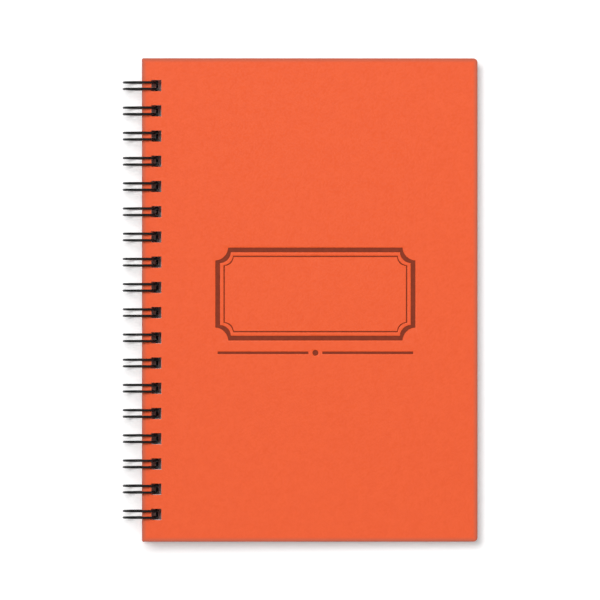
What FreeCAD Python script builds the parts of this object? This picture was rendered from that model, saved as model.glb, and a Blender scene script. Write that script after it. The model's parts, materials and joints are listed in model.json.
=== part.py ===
import FreeCAD, Part
import os

import Sketcher
from FreeCAD import Placement, Rotation, Vector

# A closed wire-bound journal: two hard covers and a block of ruled sheets, punched along the spine and
# held by one wire bent into twin loops. Millimetres.
#
# Every piece is drawn in the frame of the binding: the axis of the rings is the Y axis, X points from the
# spine to the fore-edge, Y to the head of the book and Z out of the front cover. The rings stand out below
# the rear cover, so the book lies on the rings and on the fore-edge of the rear cover, a little tilted.
# Each body's Placement lays it down so, with the origin under the middle of the book, on that surface.

SIZES = (
    ("cover_width", 169.0, "spine edge to fore-edge of a cover"),
    ("cover_height", 243.5, "tail to head of a cover"),
    ("cover_thickness", 1.9, "board with its wrap"),
    ("cover_corner_radius", 2.1, "corners at the fore-edge, in plan"),
    ("spine_corner_radius", 0.6, "corners beside the spine, in plan"),
    ("cover_edge_radius", 0.4, "wrap turned over the edges of the board"),
    ("cover_overhang", 1.7, "covers past the sheets at head, tail and fore-edge"),
    ("sheet_count", 74, "sheets in the block"),
    ("sheet_thickness", 0.1, "one sheet with the air under it"),
    ("hole_spine_margin", 4.7, "spine edge to the near side of a hole"),
    ("hole_end_margin", 10.0, "least distance from the middle of the last hole to the cover's end"),
    ("hole_ring_gap", 0.2, "outer edge of a cover's hole to the inside of the ring"),
    ("hole_far_gap", 1.2, "outside of the ring to the far side of a hole"),
    ("hole_side_gap", 0.55, "leg of a loop to the end of its hole"),
    ("wire_diameter", 1.2, "wire with its coating"),
    ("loop_pitch", 12.7, "one twin loop to the next"),
    ("leg_spacing", 3.3, "middle to middle of the two legs of a loop"),
    ("ring_slack", 4.7, "inside of the ring less the thickness of the closed book"),
    ("root_bend_radius", 1.2, "bend from a leg into the run to the next loop"),
    ("tip_gap", 0.2, "tip of a loop to the root bends that it nests between"),
    ("seam_gap", 0.15, "run of wire to the rear cover and to the last sheet"),
    ("relief_reach", 3.65, "lifted part of the last sheets past their holes"),
    ("relief_blend", 8.0, "length over which the last sheets come down again"),
)

# Sizes that follow from the driving ones, as expressions of the sheet.
WIRE_RADIUS = "(Sizes.wire_diameter / 2)"
HALF_LEGS = "(Sizes.leg_spacing / 2)"
HALF_BLOCK = "(Sizes.sheet_count * Sizes.sheet_thickness / 2)"
COVER_FACE = f"({HALF_BLOCK} + Sizes.cover_thickness)"
RING_INSIDE = f"({COVER_FACE} + Sizes.ring_slack / 2)"
RING_MIDDLE = f"({RING_INSIDE} + {WIRE_RADIUS})"
RING_OUTSIDE = f"({RING_INSIDE} + Sizes.wire_diameter)"

# The near edge of a cover's hole runs just inside the ring, so that the cover can turn about its axis.
HOLE_NEAR = f"sqrt(({RING_INSIDE} - Sizes.hole_ring_gap)^2 - {COVER_FACE}^2)"
HOLE_FAR = f"({RING_OUTSIDE} + Sizes.hole_far_gap)"
HALF_HOLE = f"({HALF_LEGS} + {WIRE_RADIUS} + Sizes.hole_side_gap)"
SPINE_EDGE = f"({HOLE_NEAR} - Sizes.hole_spine_margin)"
FORE_EDGE = f"({SPINE_EDGE} + Sizes.cover_width)"

LOOP_COUNT = "(floor((Sizes.cover_height - 2 * Sizes.hole_end_margin) / Sizes.loop_pitch) + 1)"
FIRST_LOOP = f"(-({LOOP_COUNT} - 1) * Sizes.loop_pitch / 2)"

# The runs between the loops lie in the seam between the last sheet and the rear cover. A leg leaves the
# ring at its root angle, where the plane of the root bend touches the ring, and ends at its tip angle.
RUN_HEIGHT = f"({WIRE_RADIUS} + Sizes.seam_gap - {HALF_BLOCK})"
RELIEF_HEIGHT = f"({RUN_HEIGHT} + {WIRE_RADIUS} + Sizes.seam_gap)"
RUN_RADIUS = f"sqrt({RING_MIDDLE}^2 + Sizes.root_bend_radius^2)"
ROOT_ANGLE = f"(asin({RUN_HEIGHT} / {RUN_RADIUS}) - atan(Sizes.root_bend_radius / {RING_MIDDLE}))"
BEND_CENTRE = f"({HALF_LEGS} + Sizes.root_bend_radius)"
NESTED = f"sqrt(({BEND_CENTRE} + Sizes.wire_diameter + Sizes.tip_gap)^2 - {BEND_CENTRE}^2)"
OPEN_ANGLE = f"({NESTED} / {RING_MIDDLE} * 1 rad)"
TIP_ANGLE = f"({ROOT_ANGLE} + {OPEN_ANGLE})"

# The book rests on the outside of the rings and on the rounded edge of the rear cover.
FOOT_X = f"({FORE_EDGE} - Sizes.cover_edge_radius)"
FOOT_Z = f"({COVER_FACE} - Sizes.cover_edge_radius)"
FOOT_DROP = f"(({RING_OUTSIDE} - Sizes.cover_edge_radius) / sqrt({FOOT_X}^2 + {FOOT_Z}^2))"
TILT = f"(asin({FOOT_DROP}) - atan({FOOT_Z} / {FOOT_X}))"
FORE_EDGE_REACH = f"({FOOT_X} * cos({TILT}) + {FOOT_Z} * sin({TILT}) + Sizes.cover_edge_radius)"
MIDDLE_X = f"(({FORE_EDGE_REACH} - {RING_OUTSIDE}) / 2)"

ORIGIN_POINT = (-1, 1)
SKETCH_Y_AXIS = -2
START, END, CENTRE = 1, 2, 3


def sizes_sheet(document):
    """Write the driving dimensions into a spreadsheet, one alias a row."""
    sheet = document.addObject("Spreadsheet::Sheet", "Sizes")
    for row, (alias, value, meaning) in enumerate(SIZES, start=1):
        sheet.set(f"A{row}", meaning)
        sheet.set(f"B{row}", str(value))
        sheet.setAlias(f"B{row}", alias)
    document.recompute()


def bind(item, **expressions):
    """Bind properties of an object to expressions."""
    for name, expression in expressions.items():
        item.setExpression(name, expression)


def origin_feature(body, role):
    """The plane or axis of a body's own origin that has this role."""
    return next(f for f in body.Origin.OriginFeatures if f.Role == role)


def turn_about(item, placement, angle):
    """Turn a placement of an object about the ring axis; the angle set first only fixes that axis."""
    setattr(item, placement, Placement(Vector(), Rotation(Vector(0, 1, 0), 1)))
    item.setExpression(f"{placement}.Rotation.Angle", angle)


def new_body(document, name, along_binding="0"):
    """A body in the frame of the binding, laid on the surface; along_binding shifts it along the rings."""
    body = document.addObject("PartDesign::Body", name)
    body.Label = name
    turn_about(body, "Placement", TILT)
    body.setExpression("Placement.Base.x", f"-{MIDDLE_X}")
    body.setExpression("Placement.Base.y", along_binding)
    body.setExpression("Placement.Base.z", RING_OUTSIDE)
    return body


def new_sketch(body, name, role, height=None, turn=None):
    """A sketch on an origin plane, raised by height, or turned about the ring axis by turn."""
    sketch = body.newObject("Sketcher::SketchObject", name)
    sketch.AttachmentSupport = [(origin_feature(body, role), "")]
    sketch.MapMode = "FlatFace"
    if height:
        sketch.setExpression("AttachmentOffset.Base.z", height)
    if turn:
        turn_about(sketch, "AttachmentOffset", turn)
    return sketch


def value_of(sketch, expression):
    """What an expression of the sheet comes to now, as a plain number."""
    return float(sketch.evalExpression(expression))


def dimension(sketch, kind, *where, size):
    """Add a dimension and bind it to an expression."""
    index = sketch.addConstraint(Sketcher.Constraint(kind, *where, value_of(sketch, size)))
    sketch.setExpression(f"Constraints[{index}]", size)


def place_point(sketch, item, point, across=None, up=None):
    """Dimension a point of a sketch from the sketch's origin."""
    if across:
        dimension(sketch, "DistanceX", *ORIGIN_POINT, item, point, size=across)
    if up:
        dimension(sketch, "DistanceY", *ORIGIN_POINT, item, point, size=up)


def join(sketch, *ends):
    """Make pairs of ends coincide."""
    for first, first_end, second, second_end in ends:
        sketch.addConstraint(Sketcher.Constraint("Coincident", first, first_end, second, second_end))


def rectangle(sketch, left, right, bottom, top):
    """A rectangle from an empty sketch, with its four sides bound to expressions."""
    x_left, x_right = value_of(sketch, left), value_of(sketch, right)
    y_bottom, y_top = value_of(sketch, bottom), value_of(sketch, top)
    corners = [Vector(x_left, y_bottom), Vector(x_right, y_bottom),
               Vector(x_right, y_top), Vector(x_left, y_top)]
    next_corners = corners[1:] + corners[:1]
    for start, end in zip(corners, next_corners):
        sketch.addGeometry(Part.LineSegment(start, end))
    join(sketch, (0, END, 1, START), (1, END, 2, START), (2, END, 3, START), (3, END, 0, START))
    for line, direction in enumerate(("Horizontal", "Vertical") * 2):
        sketch.addConstraint(Sketcher.Constraint(direction, line))
    place_point(sketch, 0, START, across=left, up=bottom)
    place_point(sketch, 1, END, across=right, up=top)


def wire_section(sketch, across, up):
    """The round section of the wire, as item 0 of a sketch."""
    middle = Vector(value_of(sketch, across), value_of(sketch, up))
    sketch.addGeometry(Part.Circle(middle, Vector(0, 0, 1), value_of(sketch, WIRE_RADIUS)))
    place_point(sketch, 0, CENTRE, across=across, up=up)
    dimension(sketch, "Radius", 0, size=WIRE_RADIUS)


def stands_up(edge):
    """Whether an edge of a board runs through its thickness."""
    box = edge.BoundBox
    return box.ZLength > box.XLength + box.YLength


def edge_names(feature, wanted):
    """Names of a feature's edges that pass a test."""
    return [f"Edge{number}" for number, edge in enumerate(feature.Shape.Edges, start=1) if wanted(edge)]


def round_edges(body, name, feature, edges, radius):
    """A fillet on named edges of a feature."""
    fillet = body.newObject("PartDesign::Fillet", name)
    fillet.Base = (feature, edges)
    bind(fillet, Radius=radius)
    return fillet


def punch_holes(body, pocket):
    """Repeat the first hole of a piece along the binding, one for each loop."""
    holes = body.newObject("PartDesign::LinearPattern", "BindingHoles")
    holes.Originals = [pocket]
    holes.Direction = (origin_feature(body, "Y_Axis"), [""])
    holes.Mode = "Spacing"
    bind(holes, Offset="Sizes.loop_pitch", Occurrences=LOOP_COUNT)
    body.Tip = holes


def hole_sketch(body, name, height=None):
    """The outline of the first hole, square at its corners as a die punches it."""
    sketch = new_sketch(body, name, "XY_Plane", height)
    rectangle(sketch, HOLE_NEAR, HOLE_FAR, f"{FIRST_LOOP} - {HALF_HOLE}", f"{FIRST_LOOP} + {HALF_HOLE}")
    return sketch


def hard_cover(document, name, underside):
    """A punched, wrapped board from underside up, rounded at its corners and along its edges."""
    body = new_body(document, name)
    outline = new_sketch(body, "Outline", "XY_Plane", underside)
    rectangle(outline, SPINE_EDGE, FORE_EDGE, "-Sizes.cover_height / 2", "Sizes.cover_height / 2")
    board = body.newObject("PartDesign::Pad", "Board")
    board.Profile = outline
    bind(board, Length="Sizes.cover_thickness")
    document.recompute()

    middle = board.Shape.CenterOfMass
    at_fore_edge = edge_names(board, lambda edge: stands_up(edge) and edge.CenterOfMass.x > middle.x)
    fore_edge = round_edges(body, "ForeEdgeCorners", board, at_fore_edge, "Sizes.cover_corner_radius")
    document.recompute()

    at_spine = edge_names(fore_edge, lambda edge: stands_up(edge) and edge.CenterOfMass.x < middle.x)
    corners = round_edges(body, "SpineCorners", fore_edge, at_spine, "Sizes.spine_corner_radius")
    document.recompute()

    level = edge_names(corners, lambda edge: not stands_up(edge))
    round_edges(body, "TurnedEdges", corners, level, "Sizes.cover_edge_radius")

    hole = body.newObject("PartDesign::Pocket", "FirstHole")
    hole.Profile = hole_sketch(body, "HoleOutline", underside)
    hole.Type = "ThroughAll"
    hole.Reversed = True
    punch_holes(body, hole)
    return body


def page_block(document):
    """The sheets as one block, lifted along the spine where the runs of the wire lie under them."""
    body = new_body(document, "page_block")
    profile = new_sketch(body, "Profile", "XZ_Plane")
    lift_end = f"({HOLE_FAR} + Sizes.relief_reach)"
    flat_start = f"({lift_end} + Sizes.relief_blend)"
    sheet_end = f"({FORE_EDGE} - Sizes.cover_overhang)"
    drop = f"({RELIEF_HEIGHT} + {HALF_BLOCK})"
    blend_radius = f"((Sizes.relief_blend^2 + {drop}^2) / (4 * {drop}))"

    spine, lift_x = value_of(profile, SPINE_EDGE), value_of(profile, lift_end)
    flat_x, fore = value_of(profile, flat_start), value_of(profile, sheet_end)
    lifted, top = value_of(profile, RELIEF_HEIGHT), value_of(profile, HALF_BLOCK)
    radius = value_of(profile, blend_radius)
    turned = float(profile.evalExpression(f"2 * atan({drop} / Sizes.relief_blend) / 1 rad"))
    quarter = float(profile.evalExpression("pi / 2"))

    profile.addGeometry(Part.LineSegment(Vector(spine, lifted), Vector(lift_x, lifted)))
    upper = Part.Circle(Vector(lift_x, lifted - radius), Vector(0, 0, 1), radius)
    profile.addGeometry(Part.ArcOfCircle(upper, quarter - turned, quarter))
    lower = Part.Circle(Vector(flat_x, radius - top), Vector(0, 0, 1), radius)
    profile.addGeometry(Part.ArcOfCircle(lower, 3 * quarter - turned, 3 * quarter))
    outline = [Vector(flat_x, -top), Vector(fore, -top), Vector(fore, top), Vector(spine, top),
               Vector(spine, lifted)]
    for start, end in zip(outline, outline[1:]):
        profile.addGeometry(Part.LineSegment(start, end))

    for first, first_end, second, second_end in ((0, END, 1, END), (1, START, 2, START), (2, END, 3, START)):
        profile.addConstraint(Sketcher.Constraint("Tangent", first, first_end, second, second_end))
    join(profile, (3, END, 4, START), (4, END, 5, START), (5, END, 6, START), (6, END, 0, START))
    for line in (0, 3, 5):
        profile.addConstraint(Sketcher.Constraint("Horizontal", line))
    for line in (4, 6):
        profile.addConstraint(Sketcher.Constraint("Vertical", line))
    profile.addConstraint(Sketcher.Constraint("Equal", 1, 2))
    place_point(profile, 0, START, across=SPINE_EDGE, up=RELIEF_HEIGHT)
    place_point(profile, 0, END, across=lift_end)
    place_point(profile, 3, START, across=flat_start, up=f"-{HALF_BLOCK}")
    place_point(profile, 4, END, across=sheet_end, up=HALF_BLOCK)

    sheets = body.newObject("PartDesign::Pad", "Sheets")
    sheets.Profile = profile
    sheets.SideType = "Symmetric"
    bind(sheets, Length="Sizes.cover_height - 2 * Sizes.cover_overhang")

    hole = body.newObject("PartDesign::Pocket", "FirstHole")
    hole.Profile = hole_sketch(body, "HoleOutline")
    hole.SideType = "Symmetric"
    hole.Type = "ThroughAll"
    punch_holes(body, hole)
    return body


def revolve(body, name, section, axis, angle, backwards=False):
    """A length of wire bent round an axis of its section's sketch."""
    bend = body.newObject("PartDesign::Revolution", name)
    bend.Profile = section
    bend.ReferenceAxis = (section, [axis])
    bend.Reversed = backwards
    bind(bend, Angle=angle)
    return bend


def binding_wire(document):
    """One wire bent into twin loops: half of the first loop, mirrored and repeated.

    A leg runs once round the ring from the root bend, through the rear cover, over the spine and down
    through the front cover and the sheets. Its tip is half a turn into the other leg, and nests in the
    opening between the root bends. Straight runs in the seam join one loop to the next.
    """
    body = new_body(document, "binding_wire", FIRST_LOOP)

    tip_section = new_sketch(body, "TipSection", "XY_Plane", turn=f"-{TIP_ANGLE}")
    wire_section(tip_section, RING_MIDDLE, HALF_LEGS)
    leg = revolve(body, "Leg", tip_section, "V_Axis", f"360 deg - {OPEN_ANGLE}", backwards=True)
    tip = revolve(body, "Tip", tip_section, "H_Axis", "90 deg", backwards=True)

    root_section = new_sketch(body, "RootSection", "XY_Plane", turn=f"-{ROOT_ANGLE}")
    wire_section(root_section, RING_MIDDLE, HALF_LEGS)
    bend_centre = value_of(root_section, BEND_CENTRE)
    reach = value_of(root_section, RING_MIDDLE)
    root_section.addGeometry(Part.LineSegment(Vector(0, bend_centre), Vector(reach, bend_centre)), True)
    root_section.addConstraint(Sketcher.Constraint("Horizontal", 1))
    root_section.addConstraint(Sketcher.Constraint("PointOnObject", 1, START, SKETCH_Y_AXIS))
    place_point(root_section, 1, END, across=RING_MIDDLE, up=BEND_CENTRE)
    root_bend = revolve(body, "RootBend", root_section, "Axis0", "90 deg", backwards=True)

    run_section = new_sketch(body, "RunSection", "XZ_Plane", height=f"-{BEND_CENTRE}")
    wire_section(run_section, f"sqrt({RUN_RADIUS}^2 - {RUN_HEIGHT}^2)", RUN_HEIGHT)
    run = body.newObject("PartDesign::Pad", "Run")
    run.Profile = run_section
    run.Reversed = True
    bind(run, Length=f"Sizes.loop_pitch / 2 - {BEND_CENTRE}")

    loops = body.newObject("PartDesign::MultiTransform", "Loops")
    loops.Originals = [leg, tip, root_bend, run]
    halves = body.newObject("PartDesign::Mirrored", "OtherHalf")
    halves.MirrorPlane = (origin_feature(body, "XZ_Plane"), [""])
    row = body.newObject("PartDesign::LinearPattern", "LoopRow")
    row.Direction = (origin_feature(body, "Y_Axis"), [""])
    row.Mode = "Spacing"
    bind(row, Offset="Sizes.loop_pitch", Occurrences=LOOP_COUNT)
    loops.Transformations = [halves, row]
    body.Tip = loops
    return body


def check(document, bodies):
    """Stop unless every object recomputed and every body is one valid solid."""
    for item in document.Objects:
        if "Invalid" in item.State or "Error" in item.State:
            raise RuntimeError(f"{item.Name} is {item.State}")
    for body in bodies:
        shape = body.Shape
        if shape.isNull() or not shape.isValid() or len(shape.Solids) != 1:
            raise RuntimeError(f"{body.Label} isn't one valid solid")


def main():
    document = FreeCAD.newDocument("Journal")
    sizes_sheet(document)
    bodies = [
        hard_cover(document, "front_cover", HALF_BLOCK),
        hard_cover(document, "rear_cover", f"-{COVER_FACE}"),
        page_block(document),
        binding_wire(document),
    ]
    document.recompute()
    check(document, bodies)

    os.makedirs("parts", exist_ok=True)
    for body in bodies:
        body.Shape.exportStep(f"parts/{body.Label}.step")
        print(body.Label, round(body.Shape.Volume, 1), "mm3", body.Shape.BoundBox)


main()
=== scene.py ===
"""A closed wire-bound journal: hard covers in soft orange leatherette, ruled sheets, one black wire.

Every piece is drawn in the frame of the binding: X from the spine to the fore-edge, Y from the tail to
the head along the axis of the rings, Z out of the front cover. The book lies a little tilted, because
the rings stand out below its rear cover, so each finished mesh is turned into the row's frame at the
end. Metres.
"""
import json
import math
import random

import bmesh
import bpy
from bmesh.types import BMEdge, BMFace, BMVert
from bpy.props import FloatProperty, FloatVectorProperty, IntProperty, PointerProperty
from bpy.types import Operator, Panel, PropertyGroup
from mathutils import Matrix, Vector


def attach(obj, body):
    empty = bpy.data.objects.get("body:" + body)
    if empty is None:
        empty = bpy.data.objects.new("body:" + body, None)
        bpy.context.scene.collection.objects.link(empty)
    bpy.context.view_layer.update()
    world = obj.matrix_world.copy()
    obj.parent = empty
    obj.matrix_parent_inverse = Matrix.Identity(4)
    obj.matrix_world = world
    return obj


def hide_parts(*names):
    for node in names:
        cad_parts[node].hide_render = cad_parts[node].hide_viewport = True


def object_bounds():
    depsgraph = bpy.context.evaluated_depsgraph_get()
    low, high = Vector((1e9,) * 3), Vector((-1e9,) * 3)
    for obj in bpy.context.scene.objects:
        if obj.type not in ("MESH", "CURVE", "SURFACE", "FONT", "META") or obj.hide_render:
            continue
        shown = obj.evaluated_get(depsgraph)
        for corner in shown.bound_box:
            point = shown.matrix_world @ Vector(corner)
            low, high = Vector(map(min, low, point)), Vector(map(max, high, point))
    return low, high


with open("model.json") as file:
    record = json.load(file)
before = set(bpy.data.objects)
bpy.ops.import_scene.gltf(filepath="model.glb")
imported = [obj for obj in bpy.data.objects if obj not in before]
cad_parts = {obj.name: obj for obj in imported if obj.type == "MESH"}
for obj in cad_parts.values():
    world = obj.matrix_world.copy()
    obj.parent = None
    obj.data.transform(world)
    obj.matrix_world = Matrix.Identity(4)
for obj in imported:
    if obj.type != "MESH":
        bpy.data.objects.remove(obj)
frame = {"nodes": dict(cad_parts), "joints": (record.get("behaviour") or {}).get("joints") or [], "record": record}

bl_info = {
    "name": "Wire-bound journal",
    "version": (1, 0, 0),
    "blender": (4, 5, 0),
    "location": "3D View > Sidebar > Journal",
    "description": "Builds the covers, the sheets and the binding wire of a journal around its CAD frame",
    "category": "Add Mesh",
}

MM = 0.001
CAD_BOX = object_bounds()
SEED = 18

WELD = 1e-6                        # vertices this near are one
CORNER_STEPS, SPINE_CORNER_STEPS = 8, 3
EDGE_STEPS, HOLE_EDGE_STEPS = 4, 2
SCOOP_STEPS, SCOOPED = 8, 0.094    # a bevel with so low a profile draws a corner in as a scoop
DOT_SIDES = 24
WRAP, PRESSED, BOARD = range(3)    # material slots of a cover
CUT_END = 1                        # material slot of the wire's cut ends
UPRIGHT = 0.5                      # a wall's normal has less than this along Z
ALIGNED = 0.9                      # a face looks a given way if its normal has more than this along it
LINER_PROUD = 0.8                  # share of the liner's thickness that stands out from the board
SPINE_TURN_IN = 0.5                # turn-in beside the spine, as a share of the turn-in elsewhere

KEY_TOWARDS = (0.28, -0.24, -1.0)
FILL_TOWARDS, FILL_SPREAD = (0.0, 0.0, -1.0), math.radians(100)
HEAD_LIGHT_SIDE, HEAD_LIGHT_PLACE = 0.4, (0.0, 0.36, 1.0)
# Painted shade: without the glow, the floor under the book shows darker than the open floor.
GLOW_FADE = 4 * MM                 # the floor's glow fades out this far in under the covers
NEAREST_SEEN, FURTHEST_SEEN = 0.01, 100.0


# ------------------------------------------------------------
# Places that come from the CAD frame


def binding_frame():
    """The frame of the binding, from the axis of the rings and the tail edges of the two covers."""
    mounts = {mount["name"]: Vector(mount["pos_m"]) for mount in frame["record"]["mounts"]}
    out_of_cover = (mounts["front_tail_edge"] - mounts["rear_tail_edge"]).normalized()
    along_rings = Vector((0, 1, 0))
    place = Matrix((along_rings.cross(out_of_cover), along_rings, out_of_cover)).transposed().to_4x4()
    place.translation = Vector(frame["joints"][0]["pos_m"])
    return place


BINDING = binding_frame()


def node_points(name):
    """The vertices of a CAD node in the frame of the binding."""
    to_binding = BINDING.inverted()
    return [to_binding @ vertex.co for vertex in frame["nodes"][name].data.vertices]


def node_box(name):
    """Lowest and highest corner of a CAD node in the frame of the binding."""
    points = node_points(name)
    return tuple(Vector(pick(point[axis] for point in points) for axis in range(3))
                 for pick in (min, max))


def hole_rows():
    """The near and far side of the holes, and where each hole starts and ends along the binding."""
    low, high = node_box("front_cover")
    edge_zone, reach = 2 * MM, 20 * MM
    corners = [p for p in node_points("front_cover") if low.x + edge_zone < p.x < low.x + reach
               and low.y + edge_zone < p.y < high.y - edge_zone]
    across = [p.x for p in corners]
    along = sorted({round(p.y, 5) for p in corners})
    return min(across), max(across), list(zip(along[0::2], along[1::2]))


FRONT = node_box("front_cover")
REAR = node_box("rear_cover")
BLOCK = node_box("page_block")
RING = node_box("binding_wire")
HOLE_NEAR, HOLE_FAR, HOLES = hole_rows()


# ------------------------------------------------------------
# Sizes and colours that a user would change


def number(name, description, default, **more):
    """A number property, whole where its default is whole."""
    kind = IntProperty if isinstance(default, int) else FloatProperty
    return kind(name=name, description=description, default=default, **more)


def length(name, description, default, **more):
    """A length property, in metres."""
    return number(name, description, default, unit="LENGTH", precision=5, **more)


def colour(name, description, default):
    """A colour property, in linear light."""
    return FloatVectorProperty(name=name, description=description, default=default, subtype="COLOR",
                               size=3, min=0.0, max=1.0)


class CoverSettings(PropertyGroup):
    wrap: colour("Leatherette", "Soft wrap of both covers", (0.900, 0.112, 0.024))
    # Darker tone: it mottles the wrap at random, and is also painted into the hollows of the grain as shade.
    wrap_mottle_and_hollow_shade: colour("Leatherette shade", "Darker tone that mottles the wrap", (0.830, 0.092, 0.018))
    # Darker, browner tone of the wrap, laid in a band along the outline of each cover.
    outline_tone: colour("Outline band", "Wrap where it turns over the edges of the board",
                        (0.480, 0.115, 0.065))
    pressed: colour("Pressed figure", "Wrap where the hot die has pressed and browned it",
                    (0.255, 0.036, 0.012))
    board: colour("Board", "Grey board inside the wrap, seen in the holes", (0.165, 0.120, 0.090))
    liner: colour("Liner", "Paper pasted inside the covers", (0.72, 0.69, 0.63))
    corner_radius: length("Corner radius", "Fore-edge corners, in plan", 2.1 * MM, min=0.0005)
    spine_corner_radius: length("Spine corner radius", "Corners beside the spine, in plan",
                                0.6 * MM, min=0.0001)
    edge_radius: length("Edge radius", "Wrap over the edges of the board", 0.5 * MM, min=0.0001)
    # Width of that darker band, measured in from the outline.
    outline_reach: length("Turned reach", "How far in the wrap is browned along its edges",
                         2.6 * MM, min=0.0001)
    hole_radius: length("Hole edge radius", "Wrap drawn in at the edges of the holes",
                        0.1 * MM, min=0.00001)
    wrap_thickness: length("Wrap thickness", "Leatherette over the board", 0.3 * MM, min=0.0001)
    liner_thickness: length("Liner thickness", "Paper pasted inside a cover", 0.12 * MM, min=0.00005)
    liner_margin: length("Turn-in", "Wrap that shows round the liner", 4.0 * MM, min=0.001)
    plate_width: length("Plate width", "Pressed frame on the front cover, across", 101.0 * MM, min=0.02)
    plate_height: length("Plate height", "Pressed frame on the front cover, up", 47.0 * MM, min=0.02)
    plate_right: length("Plate offset", "Middle of the frame to the middle of the cover, across",
                        2.8 * MM)
    plate_up: length("Plate rise", "Middle of the frame above the middle of the cover", 3.0 * MM)
    plate_scoop: length("Scooped corners", "Radius of the corners of the frame", 6.5 * MM, min=0.001)
    band_width: length("Band", "Wide outer line of the frame", 2.6 * MM, min=0.0005)
    band_gap: length("Band gap", "Wide line to thin line", 1.5 * MM, min=0.0005)
    line_width: length("Thin line", "Thin inner line of the frame", 0.9 * MM, min=0.0004)
    rule_drop: length("Rule drop", "Middle of the rule below the middle of the frame",
                      29.6 * MM, min=0.01)
    rule_length: length("Rule length", "Each half of the rule", 46.0 * MM, min=0.005)
    rule_width: length("Rule width", "Thickness of the rule", 1.5 * MM, min=0.0004)
    dot_radius: length("Dot radius", "Dot between the two halves of the rule", 1.6 * MM, min=0.0004)
    press_depth: length("Press depth", "Depth of the pressed figures", 0.38 * MM, min=0.00005)


class SheetSettings(PropertyGroup):
    count: number("Sheets", "Sheets in the block", 74, min=2)
    thickness: length("Sheet thickness", "One sheet of paper", 0.07 * MM, min=0.00001)
    stray: length("Stray", "How far a sheet may sit inside the edge of the block", 0.14 * MM, min=0.0)
    paper: colour("Paper", "Sheets", (0.785, 0.785, 0.795))
    ruling: colour("Ruling", "Printed lines", (0.515, 0.515, 0.535))
    line_spacing: length("Line spacing", "One printed line to the next", 7.5 * MM, min=0.002)
    line_count: number("Lines", "Printed lines on a page", 29, min=1)
    line_width: length("Line width", "Width of a printed line", 0.45 * MM, min=0.0001)
    head_margin: length("Head margin", "Head of the sheet to the first line", 20.1 * MM, min=0.0)
    spine_margin: length("Spine margin", "Spine edge of the sheet to the start of a line",
                         15.4 * MM, min=0.0)
    fore_margin: length("Fore-edge margin", "End of a line to the fore-edge of the sheet",
                        7.1 * MM, min=0.0)
    lift_reach: length("Lifted part", "Sheets lifted over the runs of the wire, past their holes",
                       3.65 * MM, min=0.0)
    lift_blend: length("Blend", "Length over which the sheets come down again", 8.0 * MM, min=0.001)


class WireSettings(PropertyGroup):
    enamel: colour("Enamel", "Coating of the wire", (0.004, 0.004, 0.004))
    steel: colour("Steel", "Cut ends of the wire", (0.42, 0.41, 0.40))
    diameter: length("Wire diameter", "Wire with its coating", 1.2 * MM, min=0.0002)
    leg_spacing: length("Leg spacing", "Middle to middle of the two legs of a loop", 3.3 * MM, min=0.001)
    root_bend: length("Root bend", "Bend from a leg into the run to the next loop", 1.2 * MM, min=0.0005)
    tip_gap: length("Tip gap", "Tip of a loop to the root bends that it nests between", 0.2 * MM, min=0.0)
    seam_gap: length("Seam gap", "Run of wire to the rear cover", 0.15 * MM, min=0.0)
    sides: number("Sides", "Sides of the wire's section", 12, min=6)
    ring_steps: number("Ring steps", "Steps round one ring", 44, min=12)
    bend_steps: number("Bend steps", "Steps in a quarter bend", 5, min=2)


class StageSettings(PropertyGroup):
    floor: colour("Floor", "Plain floor", (0.92, 0.92, 0.92))
    floor_glow: number("Floor glow", "White that the floor shows to the camera alone", 0.27,
                       min=0.0, max=1.0)
    floor_size: length("Floor size", "Side of the floor", 16.0, min=1.0)
    key_light: number("Key", "Strength of the soft light from the upper left", 1.80, min=0.0)
    key_spread: number("Key spread", "Angular size of the key light", math.radians(26), subtype="ANGLE")
    fill_light: number("Fill", "Strength of the wide light overhead", 0.14, min=0.0)
    head_light: number("Head light", "Power of the soft lamp above the head of the book", 1.9, min=0.0)
    ambient: number("Ambient", "Strength of the light from all round", 0.23, min=0.0)
    lens: number("Lens", "Focal length of the camera", 800.0, unit="CAMERA")
    margin: number("Margin", "Height of the view over the height of the book", 1.24, min=1.0)


SETTINGS = (
    ("journal_covers", CoverSettings),
    ("journal_sheets", SheetSettings),
    ("journal_wire", WireSettings),
    ("journal_stage", StageSettings),
)


# ------------------------------------------------------------
# Nodes


def add_node(tree, kind, inputs=(), **settings):
    """Add a node, set its properties, and link or set its inputs."""
    node = tree.nodes.new(kind)
    for name, value in settings.items():
        setattr(node, name, value)
    for socket, value in dict(inputs).items():
        if isinstance(value, bpy.types.NodeSocket):
            tree.links.new(value, node.inputs[socket])
        else:
            node.inputs[socket].default_value = value
    return node


def maths(tree, operation, first, second=0.0, clamp=False):
    """The result of a Math node."""
    node = add_node(tree, "ShaderNodeMath", {0: first, 1: second}, operation=operation, use_clamp=clamp)
    return node.outputs["Value"]


def mix_colours(tree, factor, first, second):
    """The result of a Mix node, whose colours are its inputs 6 and 7 and its output 2."""
    node = add_node(tree, "ShaderNodeMix", {0: factor, 6: first, 7: second}, data_type="RGBA")
    return node.outputs[2]


def ramp(tree, value, low, high, to_low=0.0, to_high=1.0, smooth=True):
    """A value taken from one range to another."""
    kind = "SMOOTHSTEP" if smooth else "LINEAR"
    node = add_node(tree, "ShaderNodeMapRange", {0: value, 1: low, 2: high, 3: to_low, 4: to_high},
                    interpolation_type=kind)
    return node.outputs["Result"]


SOCKET_KINDS = {"Vector": "NodeSocketVector", "Colour": "NodeSocketColor", "Shade": "NodeSocketColor"}


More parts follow.
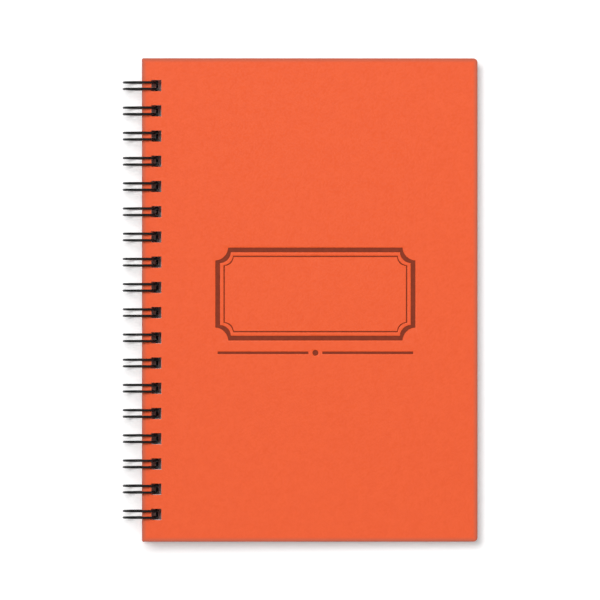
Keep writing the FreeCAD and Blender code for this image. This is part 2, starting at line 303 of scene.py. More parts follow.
def new_group(name, inputs, outputs):
    """A group that takes a vector and named values: its tree, its input node and its output node."""
    tree = bpy.data.node_groups.new(name, "ShaderNodeTree")

    def add_socket(label, in_out):
        kind = SOCKET_KINDS.get(label, "NodeSocketFloat")
        return tree.interface.new_socket(label, in_out=in_out, socket_type=kind)

    add_socket("Vector", "INPUT")
    for label, default in inputs.items():
        add_socket(label, "INPUT").default_value = default
    for label in outputs:
        add_socket(label, "OUTPUT")
    return tree, tree.nodes.new("NodeGroupInput"), tree.nodes.new("NodeGroupOutput")


def mottle_group():
    """Two tones of one colour, clouded into each other."""
    tree, given, result = new_group(
        "Mottle", {"Colour": (1, 1, 1, 1), "Shade": (0, 0, 0, 1), "Scale": 60.0, "Contrast": 0.5},
        ["Colour"])
    clouds = add_node(tree, "ShaderNodeTexNoise",
                      {"Vector": given.outputs["Vector"], "Scale": given.outputs["Scale"],
                       "Detail": 5.0, "Roughness": 0.62})
    spread = ramp(tree, clouds.outputs["Fac"], 0.32, 0.68)
    factor = maths(tree, "MULTIPLY", spread, given.outputs["Contrast"])
    clouded = mix_colours(tree, factor, given.outputs["Colour"], given.outputs["Shade"])
    tree.links.new(clouded, result.inputs["Colour"])
    return tree


def grain_group():
    """Fine pebbles with a soft tooth between them, as a height and as a mask of the hollows."""
    tree, given, result = new_group(
        "Grain", {"Pebble scale": 1100.0, "Tooth scale": 3200.0, "Tooth": 0.35}, ["Height", "Hollows"])
    pebbles = add_node(tree, "ShaderNodeTexVoronoi",
                       {"Vector": given.outputs["Vector"], "Scale": given.outputs["Pebble scale"],
                        "Smoothness": 0.6, "Randomness": 1.0}, feature="SMOOTH_F1")
    tooth = add_node(tree, "ShaderNodeTexNoise",
                     {"Vector": given.outputs["Vector"], "Scale": given.outputs["Tooth scale"],
                      "Detail": 2.0, "Roughness": 0.5})
    pebble_height = maths(tree, "SUBTRACT", 1.0, pebbles.outputs["Distance"])
    tooth_height = maths(tree, "MULTIPLY", tooth.outputs["Fac"], given.outputs["Tooth"])
    tree.links.new(maths(tree, "ADD", pebble_height, tooth_height), result.inputs["Height"])
    tree.links.new(ramp(tree, pebbles.outputs["Distance"], 0.35, 0.8), result.inputs["Hollows"])
    return tree


def edge_group():
    """1 at the outline of a cover, falling to 0 inside it."""
    tree, given, result = new_group(
        "Outline band", {"Spine": 0.0, "Fore-edge": 0.17, "Half height": 0.12, "Reach": 0.001}, ["Mask"])
    parts = add_node(tree, "ShaderNodeSeparateXYZ", {"Vector": given.outputs["Vector"]})
    from_spine = maths(tree, "SUBTRACT", parts.outputs["X"], given.outputs["Spine"])
    from_fore_edge = maths(tree, "SUBTRACT", given.outputs["Fore-edge"], parts.outputs["X"])
    beside = maths(tree, "MINIMUM", from_spine, from_fore_edge)
    from_middle = maths(tree, "ABSOLUTE", parts.outputs["Y"])
    along = maths(tree, "SUBTRACT", given.outputs["Half height"], from_middle)
    nearest = maths(tree, "MINIMUM", beside, along)
    share = maths(tree, "DIVIDE", nearest, given.outputs["Reach"], clamp=True)
    tree.links.new(ramp(tree, share, 0.0, 1.0, 1.0, 0.0), result.inputs["Mask"])
    return tree


def ruling_group():
    """1 on the printed lines of a page and 0 between them."""
    tree, given, result = new_group(
        "Ruling", {"First line": 0.1, "Last line": -0.1, "Spacing": 0.0075, "Width": 0.0004,
                   "Start": 0.016, "End": 0.16}, ["Mask"])
    parts = add_node(tree, "ShaderNodeSeparateXYZ", {"Vector": given.outputs["Vector"]})
    from_first = maths(tree, "SUBTRACT", given.outputs["First line"], parts.outputs["Y"])
    half_space = maths(tree, "MULTIPLY", given.outputs["Spacing"], 0.5)
    nearest = maths(tree, "PINGPONG", from_first, half_space)
    half_width = maths(tree, "MULTIPLY", given.outputs["Width"], 0.5)
    mask = maths(tree, "LESS_THAN", nearest, half_width)
    below_first = maths(tree, "LESS_THAN", parts.outputs["Y"],
                        maths(tree, "ADD", given.outputs["First line"], half_space))
    above_last = maths(tree, "GREATER_THAN", parts.outputs["Y"],
                       maths(tree, "SUBTRACT", given.outputs["Last line"], half_space))
    past_start = maths(tree, "GREATER_THAN", parts.outputs["X"], given.outputs["Start"])
    before_end = maths(tree, "LESS_THAN", parts.outputs["X"], given.outputs["End"])
    for limit in (below_first, above_last, past_start, before_end):
        mask = maths(tree, "MULTIPLY", mask, limit)
    tree.links.new(mask, result.inputs["Mask"])
    return tree


GROUP_MAKERS = {
    "Mottle": mottle_group,
    "Grain": grain_group,
    "Outline band": edge_group,
    "Ruling": ruling_group,
}


def place_group(tree, name, **inputs):
    """Place a shared node group in a material, made the first time it is asked for."""
    shared = bpy.data.node_groups.get(name) or GROUP_MAKERS[name]()
    node = tree.nodes.new("ShaderNodeGroup")
    node.node_tree = shared
    for label, value in inputs.items():
        socket = node.inputs[label.replace("_", " ").replace("Fore edge", "Fore-edge")]
        if isinstance(value, bpy.types.NodeSocket):
            tree.links.new(value, socket)
        else:
            socket.default_value = value
    return node


def place_on_binding(tree):
    """Coordinates in the frame of the binding."""
    coordinates = add_node(tree, "ShaderNodeTexCoord")
    mapping = add_node(tree, "ShaderNodeMapping",
                       {"Vector": coordinates.outputs["Object"], "Location": BINDING.translation,
                        "Rotation": BINDING.to_euler()}, vector_type="TEXTURE")
    return mapping.outputs["Vector"]


def opaque(base):
    """A colour property with its alpha."""
    return (*base, 1.0)


def new_material(name, base, roughness, **sockets):
    """A Principled material: its tree, its shader and coordinates in the frame of the binding."""
    material = bpy.data.materials.new(name)
    material.use_nodes = True
    tree = material.node_tree
    shader = tree.nodes["Principled BSDF"]
    shader.inputs["Base Color"].default_value = opaque(base)
    shader.inputs["Roughness"].default_value = roughness
    for label, value in sockets.items():
        shader.inputs[label.replace("_", " ")].default_value = value
    material.diffuse_color = opaque(base)
    return material, tree, shader, place_on_binding(tree)


def add_bump(tree, shader, height, depth):
    """Feed a height to a shader's normal."""
    bump = add_node(tree, "ShaderNodeBump", {"Height": height, "Distance": depth})
    tree.links.new(bump.outputs["Normal"], shader.inputs["Normal"])


def tinted(base, share):
    """A darker or lighter tone of a colour."""
    return [share * part for part in base]


def mottled(tree, place, base, shade, scale, contrast):
    """A colour clouded with another tone of it."""
    tone = place_group(tree, "Mottle", Vector=place, Colour=opaque(base), Shade=opaque(shade),
                       Scale=scale, Contrast=contrast)
    return tone.outputs["Colour"]


def leatherette(settings):
    """Soft matt leatherette, mottled, finely grained, with painted shade in the hollows of its grain, and darker
    and browner in a band along its outline.
    """
    material, tree, shader, place = new_material("soft_leatherette", settings.wrap, 0.46,
                                                 Specular_IOR_Level=0.20)
    tone = mottled(tree, place, settings.wrap, settings.wrap_mottle_and_hollow_shade, 240.0, 0.35)
    grain = place_group(tree, "Grain", Vector=place)
    low, high = FRONT
    edge = place_group(tree, "Outline band", Vector=place, Spine=low.x, Fore_edge=high.x,
                       Half_height=high.y, Reach=settings.outline_reach)
    # Painted shade: the hollows of the grain are darkened toward the darker tone.
    in_hollows = maths(tree, "MULTIPLY", grain.outputs["Hollows"], 0.22)
    shaded = mix_colours(tree, in_hollows, tone, opaque(settings.wrap_mottle_and_hollow_shade))
    # Darker and browner in a band along the outline of the cover.
    at_edges = maths(tree, "MULTIPLY", edge.outputs["Mask"], 0.85)
    turned = mix_colours(tree, at_edges, shaded, opaque(settings.outline_tone))
    tree.links.new(turned, shader.inputs["Base Color"])
    rough = ramp(tree, grain.outputs["Hollows"], 0.0, 1.0, 0.43, 0.55, smooth=False)
    tree.links.new(rough, shader.inputs["Roughness"])
    add_bump(tree, shader, grain.outputs["Height"], 0.045 * MM)
    return material


def grained_material(name, base, roughness, clouds, depth, grain, in_hollows=None, **sockets):
    """A material of one clouded colour, finely grained, whose roughness may differ in the hollows."""
    material, tree, shader, place = new_material(name, base, roughness, **sockets)
    share, scale, contrast = clouds
    tone = mottled(tree, place, base, tinted(base, share), scale, contrast)
    pebbles = place_group(tree, "Grain", Vector=place, **grain)
    tree.links.new(tone, shader.inputs["Base Color"])
    if in_hollows:
        rough = ramp(tree, pebbles.outputs["Hollows"], 0.0, 1.0, *in_hollows, smooth=False)
        tree.links.new(rough, shader.inputs["Roughness"])
    add_bump(tree, shader, pebbles.outputs["Height"], depth)
    return material


def pressed_leatherette(settings):
    """Leatherette browned and flattened by a hot die."""
    return grained_material("pressed_leatherette", settings.pressed, 0.5, (0.72, 420.0, 0.6), 0.008 * MM,
                            {"Tooth": 0.6}, Specular_IOR_Level=0.1)


def grey_board(settings):
    """Cut grey board, fibrous and flecked."""
    return grained_material("cut_board", settings.board, 0.9, (0.45, 2600.0, 0.9), 0.05 * MM,
                            {"Pebble_scale": 2400.0})


def liner_paper(settings):
    """Laid paper pasted inside the covers."""
    return grained_material("liner_paper", settings.liner, 0.75, (0.9, 240.0, 0.7), 0.01 * MM,
                            {"Pebble_scale": 1700.0, "Tooth": 0.8}, Specular_IOR_Level=0.3)


def wire_enamel(settings):
    """Glossy black coating, a little uneven."""
    return grained_material("wire_enamel", settings.enamel, 0.24, (2.2, 700.0, 0.8), 0.004 * MM,
                            {"Pebble_scale": 1600.0, "Tooth": 0.2}, in_hollows=(0.2, 0.32),
                            Specular_IOR_Level=0.12)


def writing_paper(settings):
    """Smooth writing paper with its printed lines."""
    material, tree, shader, place = new_material("writing_paper", settings.paper, 0.62,
                                                 Specular_IOR_Level=0.25)
    tone = mottled(tree, place, settings.paper, tinted(settings.paper, 0.955), 380.0, 0.8)
    low, high = BLOCK
    first = high.y - settings.head_margin
    last = first - (settings.line_count - 1) * settings.line_spacing
    ruling = place_group(tree, "Ruling", Vector=place, First_line=first, Last_line=last,
                         Spacing=settings.line_spacing, Width=settings.line_width,
                         Start=low.x + settings.spine_margin, End=high.x - settings.fore_margin)
    printed = mix_colours(tree, ruling.outputs["Mask"], tone, opaque(settings.ruling))
    tree.links.new(printed, shader.inputs["Base Color"])
    grain = place_group(tree, "Grain", Vector=place, Pebble_scale=5200.0, Tooth_scale=9000.0)
    add_bump(tree, shader, grain.outputs["Height"], 0.002 * MM)
    return material


def cut_steel(settings):
    """Bare steel where the wire was cut."""
    material, tree, shader, place = new_material("cut_steel", settings.steel, 0.38, Metallic=1.0)
    tone = mottled(tree, place, settings.steel, tinted(settings.steel, 0.6), 3000.0, 0.8)
    tree.links.new(tone, shader.inputs["Base Color"])
    return material


# ------------------------------------------------------------
# Mesh work that several pieces share


def edges_of(faces):
    """The edges of some faces, once each."""
    return list({edge for face in faces for edge in face.edges})


def verts_of(faces):
    """The vertices of some faces, once each."""
    return list({vertex for face in faces for vertex in face.verts})


def of_kind(geometry, kind):
    """The vertices, edges or faces in a list of mesh elements."""
    return [item for item in geometry if isinstance(item, kind)]


def faces_between(bm, low, high, facing=None):
    """Faces whose middle lies between two corners, and that face a direction where one is given."""
    slack = 0.001 * MM
    found = []
    for face in bm.faces:
        middle = face.calc_center_median()
        inside = all(low[axis] - slack <= middle[axis] <= high[axis] + slack for axis in range(3))
        if inside and (facing is None or face.normal.dot(facing) > ALIGNED):
            found.append(face)
    return found


def add_plate(bm, left, right, bottom, top, height=0.0):
    """Add a flat rectangle that faces up."""
    middle = Matrix.Translation(((left + right) / 2, (bottom + top) / 2, height))
    spread = Matrix.Diagonal((right - left, top - bottom, 1, 1))
    made = bmesh.ops.create_grid(bm, x_segments=1, y_segments=1, size=0.5, matrix=middle @ spread)
    return made["verts"]


def cut(bm, faces, axis, value):
    """Cut faces where one coordinate has a value."""
    point, normal = Vector(), Vector()
    point[axis], normal[axis] = value, 1.0
    bmesh.ops.bisect_plane(bm, geom=faces + edges_of(faces) + verts_of(faces), plane_co=point,
                           plane_no=normal, dist=WELD)
    bm.normal_update()


def punch(bm):
    """Cut the row of holes out of a flat plate."""
    endless = 1.0
    for value in (HOLE_NEAR, HOLE_FAR):
        cut(bm, bm.faces[:], 0, value)
    for value in [end for hole in HOLES for end in hole]:
        strip = faces_between(bm, (-endless, -endless, -endless), (HOLE_FAR, endless, endless))
        cut(bm, strip, 1, value)
    for start, end in HOLES:
        gone = faces_between(bm, (HOLE_NEAR, start, -endless), (HOLE_FAR, end, endless))
        bmesh.ops.delete(bm, geom=gone, context="FACES")


def thicken(bm, thickness):
    """Turn a flat plate into a closed one, by thickness along Z."""
    made = bmesh.ops.extrude_face_region(bm, geom=bm.faces[:], use_keep_orig=True)
    raised = of_kind(made["geom"], BMVert)
    bmesh.ops.translate(bm, verts=raised, vec=(0, 0, thickness))
    bmesh.ops.recalc_face_normals(bm, faces=bm.faces)
    bm.normal_update()


def round_corners(bm, corners, radius, segments, profile=0.5):
    """Round corners of a flat plate, in plan."""
    bmesh.ops.bevel(bm, geom=corners, offset=radius, offset_type="OFFSET", segments=segments,
                    profile=profile, affect="VERTICES", clamp_overlap=True, material=-1)


def finished_mesh(name, bm):
    """A mesh with what was drawn, which is let go."""
    mesh = bpy.data.meshes.new(name)
    bm.to_mesh(mesh)
    bm.free()
    return mesh


def add_object(name, data):
    """An object in the scene that holds a mesh, a light or a camera."""
    made = bpy.data.objects.new(name, data)
    bpy.context.scene.collection.objects.link(made)
    return made


def add_piece(name, bm, materials, body, nodes=(), smooth_angle=40.0):
    """Finish a mesh as a piece in the row's frame, riding on a body."""
    bmesh.ops.transform(bm, matrix=BINDING, verts=bm.verts)
    mesh = finished_mesh(name, bm)
    for material in materials:
        mesh.materials.append(material)
    mesh.shade_smooth()
    mesh.set_sharp_from_angle(angle=math.radians(smooth_angle))
    piece = add_object(name, mesh)
    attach(piece, body)
    if nodes:
        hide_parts(*nodes)
    return piece


def flatten_shading(piece):
    """Keep wide flat faces flat beside rounded edges."""
    modifier = piece.modifiers.new("Flat faces", "WEIGHTED_NORMAL")
    modifier.keep_sharp = True
    modifier.weight = 100


def shared_material(name, maker, settings):
    """A material by its name, made the first time it is asked for."""
    return bpy.data.materials.get(name) or maker(settings)


# ------------------------------------------------------------
# Covers


def cover_plate(bm, box, settings):
    """The flat outline of a cover with its holes, rounded at its corners."""
    low, high = box
    add_plate(bm, low.x, high.x, low.y, high.y, low.z)
    at_fore_edge = [vertex for vertex in bm.verts if vertex.co.x > HOLE_FAR]
    at_spine = [vertex for vertex in bm.verts if vertex.co.x < HOLE_FAR]
    round_corners(bm, at_fore_edge, settings.corner_radius, CORNER_STEPS)
    round_corners(bm, at_spine, settings.spine_corner_radius, SPINE_CORNER_STEPS)
    punch(bm)


def is_wall(face):
    """Whether a face stands upright in the frame of the binding."""
    return abs(face.normal.z) < UPRIGHT


def is_hole_wall(face):
    """Whether an upright face belongs to a hole, and not to the outline of a cover."""
    middle = face.calc_center_median()
    slack = 0.01 * MM
    return (HOLE_NEAR - slack < middle.x < HOLE_FAR + slack
            and HOLES[0][0] - slack < middle.y < HOLES[-1][1] + slack)


def rounded_edges(bm, settings):
    """Turn the wrap over the edges of the board, and a little into the holes."""
    outer, inner = [], []
    for edge in bm.edges:
        walls = [face for face in edge.link_faces if is_wall(face)]
        if len(walls) == 1:
            (inner if is_hole_wall(walls[0]) else outer).append(edge)
    for edges, radius, steps in ((outer, settings.edge_radius, EDGE_STEPS),
                                 (inner, settings.hole_radius, HOLE_EDGE_STEPS)):
        bmesh.ops.bevel(bm, geom=[edge for edge in edges if edge.is_valid], offset=radius,
                        offset_type="OFFSET", segments=steps, profile=0.5, affect="EDGES",
                        clamp_overlap=True, material=-1)


def bare_board(bm, box, settings):
    """Show the board between the two layers of wrap on the walls of the holes."""
    low, high = box
    lower, upper = low.z + settings.wrap_thickness, high.z - settings.wrap_thickness
    for height in (lower, upper):
        cut(bm, [face for face in bm.faces if is_wall(face) and is_hole_wall(face)], 2, height)
    for face in bm.faces:
        if is_wall(face) and is_hole_wall(face) and lower < face.calc_center_median().z < upper:
            face.material_index = BOARD


def open_cell(bm, box, left, right, bottom, top):
    """Cut a rectangle out of the top of a cover and return its rim."""
    low, high = box
    skin = high.z - 0.01 * MM
    up = Vector((0, 0, 1))
    for value in (left, right):
        cut(bm, faces_between(bm, (HOLE_FAR, low.y, skin), high, up), 0, value)
    for value in (bottom, top):
        cut(bm, faces_between(bm, (left, low.y, skin), (right, high.y, high.z), up), 1, value)
    cell = faces_between(bm, (left, bottom, skin), (right, top, high.z), up)
    rim = cell[0].edges[:]
    bmesh.ops.delete(bm, geom=cell, context="FACES_ONLY")
    return rim


def outline_of(bm, make):
    """The edges of a flat figure that make() adds, without its face."""
    known = set(bm.faces)
    make()
    face = next(face for face in bm.faces if face not in known)
    edges = face.edges[:]
    bmesh.ops.delete(bm, geom=[face], context="FACES_ONLY")
    return edges


def fill_between(bm, outer, inner):
    """Fill the skin between two flat outlines, one inside the other, and return its faces."""
    made = bmesh.ops.triangle_fill(bm, use_beauty=True, edges=outer + inner, normal=(0, 0, 1))
    return of_kind(made["geom"], BMFace)


def fill_figure(bm, outline):
    """Fill a figure, and return its faces."""
    return bmesh.ops.contextual_create(bm, geom=outline)["faces"]


def press_in(bm, faces, settings):
    """Press faces into the cover, with a soft shoulder round them."""
    shoulder, wall = 0.16 * MM, 0.1 * MM
    shares = ((shoulder, 0.25), (wall, 0.75))
    for width, share in shares:
        made = bmesh.ops.inset_region(bm, faces=faces, thickness=width, use_boundary=True,
                                      depth=-share * settings.press_depth, use_even_offset=True)
        for face in made["faces"]:
            face.material_index = WRAP if width == shoulder else PRESSED
    for face in faces:
        face.material_index = PRESSED


def press_frame(bm, box, across, up, settings):
    """Press a blank title frame with scooped corners: a wide band, and a thin line inside it."""
    high = box[1]
    room = 1.5 * MM
    half_width, half_height = settings.plate_width / 2, settings.plate_height / 2

    def scooped(inset):
        """The outline this far inside the frame, its scoops drawn in as the straight sides are."""
        wide, tall = half_width - inset, half_height - inset
        scoop = settings.plate_scoop - (math.sqrt(2) - 1) * inset

        def make():
            corners = add_plate(bm, across - wide, across + wide, up - tall, up + tall, high.z)
            round_corners(bm, corners, scoop, SCOOP_STEPS, profile=SCOOPED)

        return outline_of(bm, make)

    rim = open_cell(bm, box, across - half_width - room, across + half_width + room,
                    up - half_height - room, up + half_height + room)
    insets = (0.0, settings.band_width, settings.band_width + settings.band_gap,
              settings.band_width + settings.band_gap + settings.line_width)
    outlines = [scooped(inset) for inset in insets]
    rings = [fill_between(bm, outer, inner) for outer, inner in zip([rim, *outlines], outlines)]
    fill_figure(bm, outlines[-1])
    bmesh.ops.recalc_face_normals(bm, faces=bm.faces)
    band, line = rings[1], rings[3]
    press_in(bm, band, settings)
    press_in(bm, line, settings)


def press_rule(bm, box, across, up, settings):
    """Press a rule in two halves, with a dot between them."""
    high = box[1]
    room, gap = 0.6 * MM, 3.4 * MM
    half_rule = settings.rule_width / 2
    for side in (-1, 1):
        near, far = sorted((across + side * gap, across + side * (gap + settings.rule_length)))
        rim = open_cell(bm, box, near - room, far + room, up - half_rule - room, up + half_rule + room)
        rule = outline_of(bm, lambda: add_plate(bm, near, far, up - half_rule, up + half_rule, high.z))
        fill_between(bm, rim, rule)
        press_in(bm, fill_figure(bm, rule), settings)

    reach = settings.dot_radius + room
    rim = open_cell(bm, box, across - reach, across + reach, up - reach, up + reach)
    dot = outline_of(bm, lambda: bmesh.ops.create_circle(
        bm, cap_ends=True, segments=DOT_SIDES, radius=settings.dot_radius,
        matrix=Matrix.Translation((across, up, high.z))))
    fill_between(bm, rim, dot)
    press_in(bm, fill_figure(bm, dot), settings)


def press_title(bm, box, settings):
    """Press a blank title frame and the rule below it into the front cover."""
    low, high = box
    across = (low.x + high.x) / 2 + settings.plate_right
    up = (low.y + high.y) / 2 + settings.plate_up
    press_frame(bm, box, across, up, settings)
    press_rule(bm, box, across, up - settings.rule_drop, settings)


def hard_cover(name, node, body, box, settings, outward, plate=False):
    """A wrapped board with its liner pasted in; outward is 1 for the front cover, -1 for the rear."""
    low, high = (corner.copy() for corner in box)
    recess = LINER_PROUD * settings.liner_thickness
    if outward > 0:
        low.z += recess
    else:
        high.z -= recess
    board_box = (low, high)
    bm = bmesh.new()
    cover_plate(bm, board_box, settings)
    thicken(bm, high.z - low.z)
    rounded_edges(bm, settings)
    if plate:
        press_title(bm, board_box, settings)
    bare_board(bm, board_box, settings)
    bmesh.ops.recalc_face_normals(bm, faces=bm.faces)
    materials = [
        shared_material("soft_leatherette", leatherette, settings),
        shared_material("pressed_leatherette", pressed_leatherette, settings),
        shared_material("cut_board", grey_board, settings),
    ]
    flatten_shading(add_piece(f"{name}_wrap", bm, materials, body, [node]))

    low, high = box
    margin = settings.liner_margin
    underside = low.z if outward > 0 else high.z - settings.liner_thickness
    bm = bmesh.new()
    add_plate(bm, low.x + SPINE_TURN_IN * margin, high.x - margin, low.y + margin, high.y - margin,
              underside)
    punch(bm)
    thicken(bm, settings.liner_thickness)
    liner = shared_material("liner_paper", liner_paper, settings)
    add_piece(f"{name}_liner", bm, [liner], body)


class JOURNAL_OT_front_cover(Operator):
    """Build the front cover: wrapped board with its pressed title frame, and its liner"""

    bl_idname = "journal.front_cover"
    bl_label = "Front cover"
    bl_options = {"REGISTER", "UNDO"}

    def execute(self, context):
        hard_cover("front_cover", "front_cover", "front", FRONT, context.scene.journal_covers, 1,
                   plate=True)
        return {"FINISHED"}


class JOURNAL_OT_rear_cover(Operator):
    """Build the rear cover: wrapped board and its liner"""

    bl_idname = "journal.rear_cover"
    bl_label = "Rear cover"
    bl_options = {"REGISTER", "UNDO"}

    def execute(self, context):
        hard_cover("rear_cover", "rear_cover", "rear", REAR, context.scene.journal_covers, -1)
        return {"FINISHED"}


# ------------------------------------------------------------
# Sheets


def lift_profile(settings):
    """Where the pressed part of the sheets ends, where they lie flat, and the thickness kept."""
    low, high = BLOCK
    lift_end = HOLE_FAR + settings.lift_reach
    flat_start = lift_end + settings.lift_blend
    lifted = min(point.z for point in node_points("page_block") if point.x < HOLE_FAR)
    return lift_end, flat_start, (high.z - lifted) / (high.z - low.z)


class JOURNAL_OT_sheets(Operator):
    """Build the block of ruled sheets, punched and pressed together over the runs of the wire"""

    bl_idname = "journal.sheets"
    bl_label = "Sheets"
    bl_options = {"REGISTER", "UNDO"}

    def execute(self, context):
        settings = context.scene.journal_sheets
        low, high = BLOCK
        lift_end, flat_start, share = lift_profile(settings)
        pitch = (high.z - low.z) / settings.count
        draw = random.Random(SEED)

        sheet = bmesh.new()
        add_plate(sheet, low.x, high.x, low.y, high.y)
        punch(sheet)
        blend_cuts = 4
        for step in range(blend_cuts + 1):
            cut(sheet, sheet.faces[:], 0, lift_end + (flat_start - lift_end) * step / blend_cuts)
        thicken(sheet, settings.thickness)
        one_sheet = finished_mesh("one_sheet", sheet)

        block = bmesh.new()
        for number in range(settings.count):
            known = len(block.verts)
            block.from_mesh(one_sheet)
            block.verts.ensure_lookup_table()
            verts = block.verts[known:]
            height = low.z + (number + 0.5) * pitch - settings.thickness / 2
            place, spread = Vector((0, 0, height)), Vector((1, 1, 1))
            for axis in (0, 1):
                start, end = (draw.uniform(0.0, settings.stray) for side in range(2))
                spread[axis] = 1.0 - (start + end) / (high[axis] - low[axis])
                place[axis] = low[axis] + start - spread[axis] * low[axis]
            bmesh.ops.transform(block, matrix=Matrix.LocRotScale(place, None, spread), verts=verts)
        bpy.data.meshes.remove(one_sheet)

        for vertex in block.verts:
            along = min(max((vertex.co.x - lift_end) / (flat_start - lift_end), 0.0), 1.0)
            eased = along * along * (3 - 2 * along)
            keep = share + (1.0 - share) * eased
            vertex.co.z = high.z - (high.z - vertex.co.z) * keep
        bmesh.ops.recalc_face_normals(block, faces=block.faces)
        paper = shared_material("writing_paper", writing_paper, settings)
        add_piece("ruled_sheets", block, [paper], "book", ["page_block"],
                  smooth_angle=20.0)
        return {"FINISHED"}


# ------------------------------------------------------------
# Binding wire


def turn(bm, section, centre, axis, angle, steps):
    """Spin a section round an axis and return the section that it ends in."""
    made = bmesh.ops.spin(bm, geom=section, cent=centre, axis=axis, dvec=(0, 0, 0), angle=angle,
                          steps=steps, use_merge=False, use_duplicate=False)
    return made["geom_last"]


def half_loop(bm, settings, pitch, ring_middle):
    """One leg of a loop: half of the tip, once round the ring, the root bend and half of the run."""
    wire_radius = settings.diameter / 2
    half_legs = settings.leg_spacing / 2
    run_height = BLOCK[0].z + settings.seam_gap + wire_radius
    run_radius = math.hypot(ring_middle, settings.root_bend)
    root_angle = math.asin(run_height / run_radius) - math.atan(settings.root_bend / ring_middle)
    bend_centre = half_legs + settings.root_bend
    nested = math.sqrt((bend_centre + settings.diameter + settings.tip_gap) ** 2 - bend_centre ** 2)
    open_angle = nested / ring_middle
    tip_angle = root_angle + open_angle

    out_at_tip = Vector((math.cos(tip_angle), 0, math.sin(tip_angle)))
    on_at_tip = Vector((-math.sin(tip_angle), 0, math.cos(tip_angle)))
    tip_centre = ring_middle * out_at_tip
    across_wire = Matrix((out_at_tip, on_at_tip, Vector((0, 1, 0)))).transposed().to_4x4()
    start = Matrix.Translation(tip_centre - half_legs * on_at_tip) @ across_wire
    circle = bmesh.ops.create_circle(bm, cap_ends=False, segments=settings.sides, radius=wire_radius,
                                     matrix=start)
    section = circle["verts"] + list({edge for vertex in circle["verts"] for edge in vertex.link_edges})

    quarter = math.pi / 2
    section = turn(bm, section, tip_centre, out_at_tip, quarter, settings.bend_steps)
    section = turn(bm, section, (0, 0, 0), (0, -1, 0), 2 * math.pi - open_angle, settings.ring_steps)
    out_at_root = Vector((math.cos(root_angle), 0, math.sin(root_angle)))
    root_centre = ring_middle * out_at_root + Vector((0, bend_centre, 0))
    section = turn(bm, section, root_centre, out_at_root, -quarter, settings.bend_steps)
    run = bmesh.ops.extrude_edge_only(bm, edges=of_kind(section, BMEdge))
    bmesh.ops.translate(bm, verts=of_kind(run["geom"], BMVert),
                        vec=(0, pitch / 2 - bend_centre, 0))


class JOURNAL_OT_binding_wire(Operator):
    """Build the binding: one wire bent into twin loops"""

    bl_idname = "journal.binding_wire"
    bl_label = "Binding wire"
    bl_options = {"REGISTER", "UNDO"}

    def execute(self, context):
        settings = context.scene.journal_wire
        middles = [(start + end) / 2 for start, end in HOLES]
        pitch = (middles[-1] - middles[0]) / (len(middles) - 1)
        ring_middle = -RING[0].x - settings.diameter / 2

        loop = bmesh.new()
        half_loop(loop, settings, pitch, ring_middle)
        bmesh.ops.mirror(loop, geom=loop.verts[:] + loop.edges[:] + loop.faces[:], axis="Y",
                         merge_dist=WELD)
        one_loop = finished_mesh("one_loop", loop)

        wire = bmesh.new()
        for middle in middles:
            known = len(wire.verts)
            wire.from_mesh(one_loop)
            wire.verts.ensure_lookup_table()
            bmesh.ops.translate(wire, verts=wire.verts[known:], vec=(0, middle, 0))
        bpy.data.meshes.remove(one_loop)
        bmesh.ops.remove_doubles(wire, verts=wire.verts, dist=WELD)
        cut_ends = bmesh.ops.holes_fill(wire, edges=wire.edges, sides=0)
        if len(cut_ends["faces"]) != 2:
            raise RuntimeError("the wire isn't one open tube")
        for face in cut_ends["faces"]:
            face.material_index = CUT_END
        bmesh.ops.recalc_face_normals(wire, faces=wire.faces)
        materials = [
            shared_material("wire_enamel", wire_enamel, settings),
            shared_material("cut_steel", cut_steel, settings),
        ]
        add_piece("twin_loop_wire", wire, materials, "book", ["binding_wire"])
        return {"FINISHED"}


# ------------------------------------------------------------
# Stage


def white_to_camera(tree):
    """1 for what the camera, a reflection or glass sees, and 0 for light that falls on the book."""
    path = add_node(tree, "ShaderNodeLightPath")
    seen = maths(tree, "MAXIMUM", path.outputs["Is Camera Ray"], path.outputs["Is Glossy Ray"])
    return maths(tree, "MAXIMUM", seen, path.outputs["Is Transmission Ray"])


def floor_material(settings):
    """A matt pale floor that shows white to the camera beside the book, and keeps its shadow. Under the book the
    glow is left out, which paints the floor there darker as shade.
    """
    material = bpy.data.materials.new("pale_floor")
    material.use_nodes = True
    tree = material.node_tree
    tree.nodes.clear()
    surface = add_node(tree, "ShaderNodeBsdfDiffuse", {"Color": opaque(settings.floor)})
    low, high = FRONT
    # Painted shade: the glow is left out under the book, so the floor there, seen through the holes or beside a
    # turned cover, is darker than the open floor.
    beside_book = place_group(tree, "Outline band", Vector=place_on_binding(tree), Spine=low.x,
                              Fore_edge=high.x, Half_height=high.y, Reach=GLOW_FADE)
    glow = maths(tree, "MULTIPLY", white_to_camera(tree), beside_book.outputs["Mask"])
    glow = maths(tree, "MULTIPLY", glow, settings.floor_glow)
    white = add_node(tree, "ShaderNodeEmission", {"Color": (1, 1, 1, 1), "Strength": glow})
    both = add_node(tree, "ShaderNodeAddShader", {0: surface.outputs[0], 1: white.outputs[0]})
    add_node(tree, "ShaderNodeOutputMaterial", {"Surface": both.outputs[0]})
    return material


def add_light(name, kind, power, **settings):
    """A light that shines straight down from the origin."""
    light = bpy.data.lights.new(name, kind)
    light.energy = power
    for setting, value in settings.items():
        setattr(light, setting, value)
    return add_object(name, light)


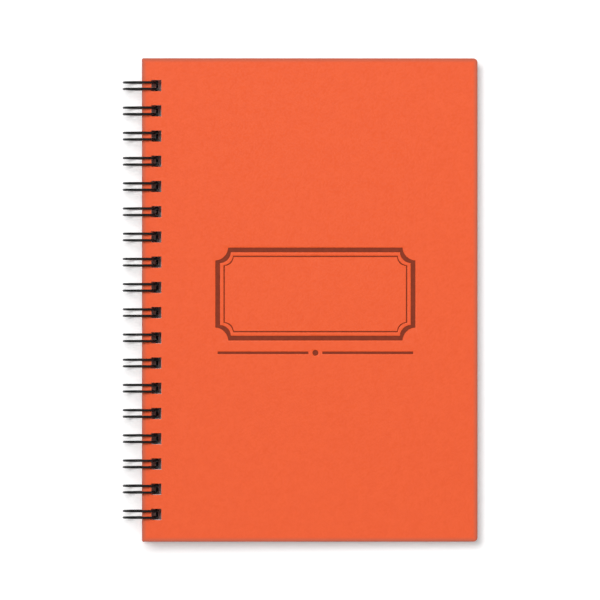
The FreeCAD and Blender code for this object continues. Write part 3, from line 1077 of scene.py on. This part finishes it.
class JOURNAL_OT_stage(Operator):
    """Set up the pale floor, the soft light and the camera straight above the book"""

    bl_idname = "journal.stage"
    bl_label = "Stage"
    bl_options = {"REGISTER", "UNDO"}

    def execute(self, context):
        scene = context.scene
        settings = scene.journal_stage
        bm = bmesh.new()
        half = settings.floor_size / 2
        add_plate(bm, -half, half, -half, half)
        mesh = finished_mesh("floor", bm)
        mesh.materials.append(floor_material(settings))
        floor = add_object("floor", mesh)

        key = add_light("key_light", "SUN", settings.key_light, angle=settings.key_spread)
        fill = add_light("fill_light", "SUN", settings.fill_light, angle=FILL_SPREAD)
        for sun, towards in ((key, KEY_TOWARDS), (fill, FILL_TOWARDS)):
            sun.rotation_euler = Vector(towards).to_track_quat("-Z", "Y").to_euler()
        softbox = add_light("head_light", "AREA", settings.head_light, size=HEAD_LIGHT_SIDE)
        softbox.location = HEAD_LIGHT_PLACE
        softbox.visible_camera = False

        world = bpy.data.worlds.new("studio")
        world.use_nodes = True
        tree = world.node_tree
        tree.nodes.clear()
        strength = ramp(tree, white_to_camera(tree), 0.0, 1.0, settings.ambient, 1.0, smooth=False)
        sky = add_node(tree, "ShaderNodeBackground", {"Color": (1, 1, 1, 1), "Strength": strength})
        add_node(tree, "ShaderNodeOutputWorld", {"Surface": sky.outputs[0]})
        scene.world = world

        low, high = CAD_BOX
        lens = bpy.data.cameras.new("camera")
        lens.lens = settings.lens
        view = settings.margin * (high.y - low.y)
        distance = view * lens.lens / lens.sensor_width
        camera = add_object("camera", lens)
        camera.location = ((low.x + high.x) / 2, (low.y + high.y) / 2, high.z + distance)
        lens.clip_start, lens.clip_end = NEAREST_SEEN, FURTHEST_SEEN
        scene.camera = camera
        scene.view_settings.view_transform = "Standard"
        return {"FINISHED"}


# ------------------------------------------------------------
# Panel and registration


STEPS = (JOURNAL_OT_stage, JOURNAL_OT_front_cover, JOURNAL_OT_rear_cover, JOURNAL_OT_sheets,
         JOURNAL_OT_binding_wire)


class JOURNAL_PT_panel(Panel):
    """Sizes and colours of the journal, and the operators that build it"""

    bl_label = "Wire-bound journal"
    bl_idname = "JOURNAL_PT_panel"
    bl_space_type = "VIEW_3D"
    bl_region_type = "UI"
    bl_category = "Journal"

    def draw(self, context):
        for step in STEPS:
            self.layout.operator(step.bl_idname)
        for attribute, group in SETTINGS:
            box = self.layout.box()
            for name in group.__annotations__:
                box.prop(getattr(context.scene, attribute), name)


def register():
    for attribute, group in SETTINGS:
        bpy.utils.register_class(group)
        setattr(bpy.types.Scene, attribute, PointerProperty(type=group))
    for made in (*STEPS, JOURNAL_PT_panel):
        bpy.utils.register_class(made)


def unregister():
    for made in reversed((*STEPS, JOURNAL_PT_panel)):
        bpy.utils.unregister_class(made)
    for attribute, group in reversed(SETTINGS):
        delattr(bpy.types.Scene, attribute)
        bpy.utils.unregister_class(group)


def main():
    register()
    bpy.ops.journal.stage()
    bpy.ops.journal.front_cover()
    bpy.ops.journal.rear_cover()
    bpy.ops.journal.sheets()
    bpy.ops.journal.binding_wire()


if __name__ == "__main__":
    main()
